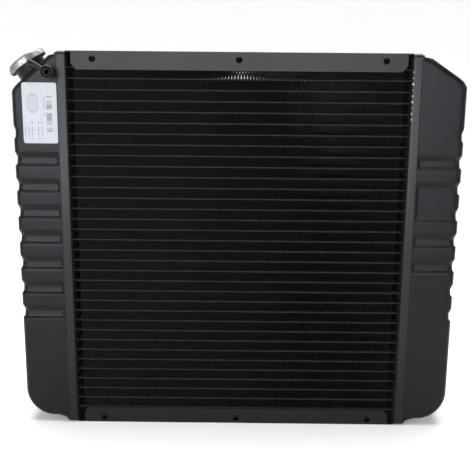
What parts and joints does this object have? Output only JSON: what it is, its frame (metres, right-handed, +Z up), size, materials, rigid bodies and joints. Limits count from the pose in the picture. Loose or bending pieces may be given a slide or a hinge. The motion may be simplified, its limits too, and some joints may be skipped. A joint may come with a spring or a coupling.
{
  "type": "car radiator",
  "caption": "Crossflow car radiator: finned core between two ribbed side tanks, steel channels, filler neck with pressure cap, two hose pipes and a drain cock.",
  "frame": {"origin": "centre of the bottom channel's underside", "axes": "+X to the right seen from the grille side, +Y towards the engine, +Z up"},
  "size_m": [0.6055, 0.1382, 0.519],
  "materials": {
    "black_paint": "satin",
    "core_paint": "satin",
    "tube_paint": "satin",
    "cap_chrome": "polished",
    "bare_brass": "satin",
    "spring_steel": "satin",
    "seal_rubber": "matte",
    "label_paper": "matte"
  },
  "bodies": {
    "radiator": {"tube_row_01": "tube_paint", "tube_row_02": "tube_paint", "tube_row_03": "tube_paint", "tube_row_04": "tube_paint", "tube_row_05": "tube_paint", "tube_row_06": "tube_paint", "tube_row_07": "tube_paint", "tube_row_08": "tube_paint", "tube_row_09": "tube_paint", "tube_row_10": "tube_paint", "tube_row_11": "tube_paint", "tube_row_12": "tube_paint", "tube_row_13": "tube_paint", "tube_row_14": "tube_paint", "tube_row_15": "tube_paint", "tube_row_16": "tube_paint", "tube_row_17": "tube_paint", "tube_row_18": "tube_paint", "tube_row_19": "tube_paint", "tube_row_20": "tube_paint", "tube_row_21": "tube_paint", "tube_row_22": "tube_paint", "tube_row_23": "tube_paint", "tube_row_24": "tube_paint", "tube_row_25": "tube_paint", "tube_row_26": "tube_paint", "tube_row_27": "tube_paint", "tube_row_28": "tube_paint", "tube_row_29": "tube_paint", "tube_row_30": "tube_paint", "tube_row_31": "tube_paint", "tube_row_32": "tube_paint", "tube_row_33": "tube_paint", "tube_row_34": "tube_paint", "fin_pack": "core_paint", "upper_side_sheet": "core_paint", "lower_side_sheet": "core_paint", "top_channel": "black_paint", "bottom_channel": "black_paint", "right_header": "black_paint", "left_header": "black_paint", "left_tank": "black_paint", "right_tank": "black_paint", "inlet_pipe": "black_paint", "outlet_pipe": "black_paint", "filler_neck": "black_paint", "overflow_tube": "black_paint", "drain_body": "bare_brass", "drain_washer": "seal_rubber", "label": "label_paper"},
    "cap_core": {"cap_rivet": "cap_chrome", "cap_gasket": "seal_rubber", "cap_diaphragm": "spring_steel", "relief_spring": "spring_steel"},
    "cap_cover": {"cap_shell": "cap_chrome"},
    "relief_piston": {"relief_valve": "bare_brass", "relief_seal": "seal_rubber"},
    "vent_plunger": {"vent_valve": "bare_brass"},
    "drain_spindle": {"drain_screw": "bare_brass"}
  },
  "joints": [
    {"name": "cap_lift", "type": "slide", "parent": "radiator", "child": "cap_core", "axis": [-0.5736, 0, 0.8191], "range_m": [0, 0.045]},
    {"name": "cap_turn", "type": "hinge", "parent": "cap_core", "child": "cap_cover", "pos_m": [-0.28497, 0, 0.50238], "axis": [0.5736, 0, -0.8191], "range_deg": [0, 90]},
    {"name": "relief_lift", "type": "slide", "parent": "cap_core", "child": "relief_piston", "axis": [-0.5736, 0, 0.8191], "range_m": [0, 0.003], "stiffness_N_per_m": 800, "deforming": ["relief_spring"]},
    {"name": "vent_drop", "type": "slide", "parent": "relief_piston", "child": "vent_plunger", "axis": [0.5736, 0, -0.8191], "range_m": [0, 0.002], "stiffness_N_per_m": 60},
    {"name": "drain_turn", "type": "hinge", "parent": "radiator", "child": "drain_spindle", "pos_m": [0.265, 0.05, 0.042], "axis": [0, 1, 0], "range_deg": [0, 540]}
  ]
}
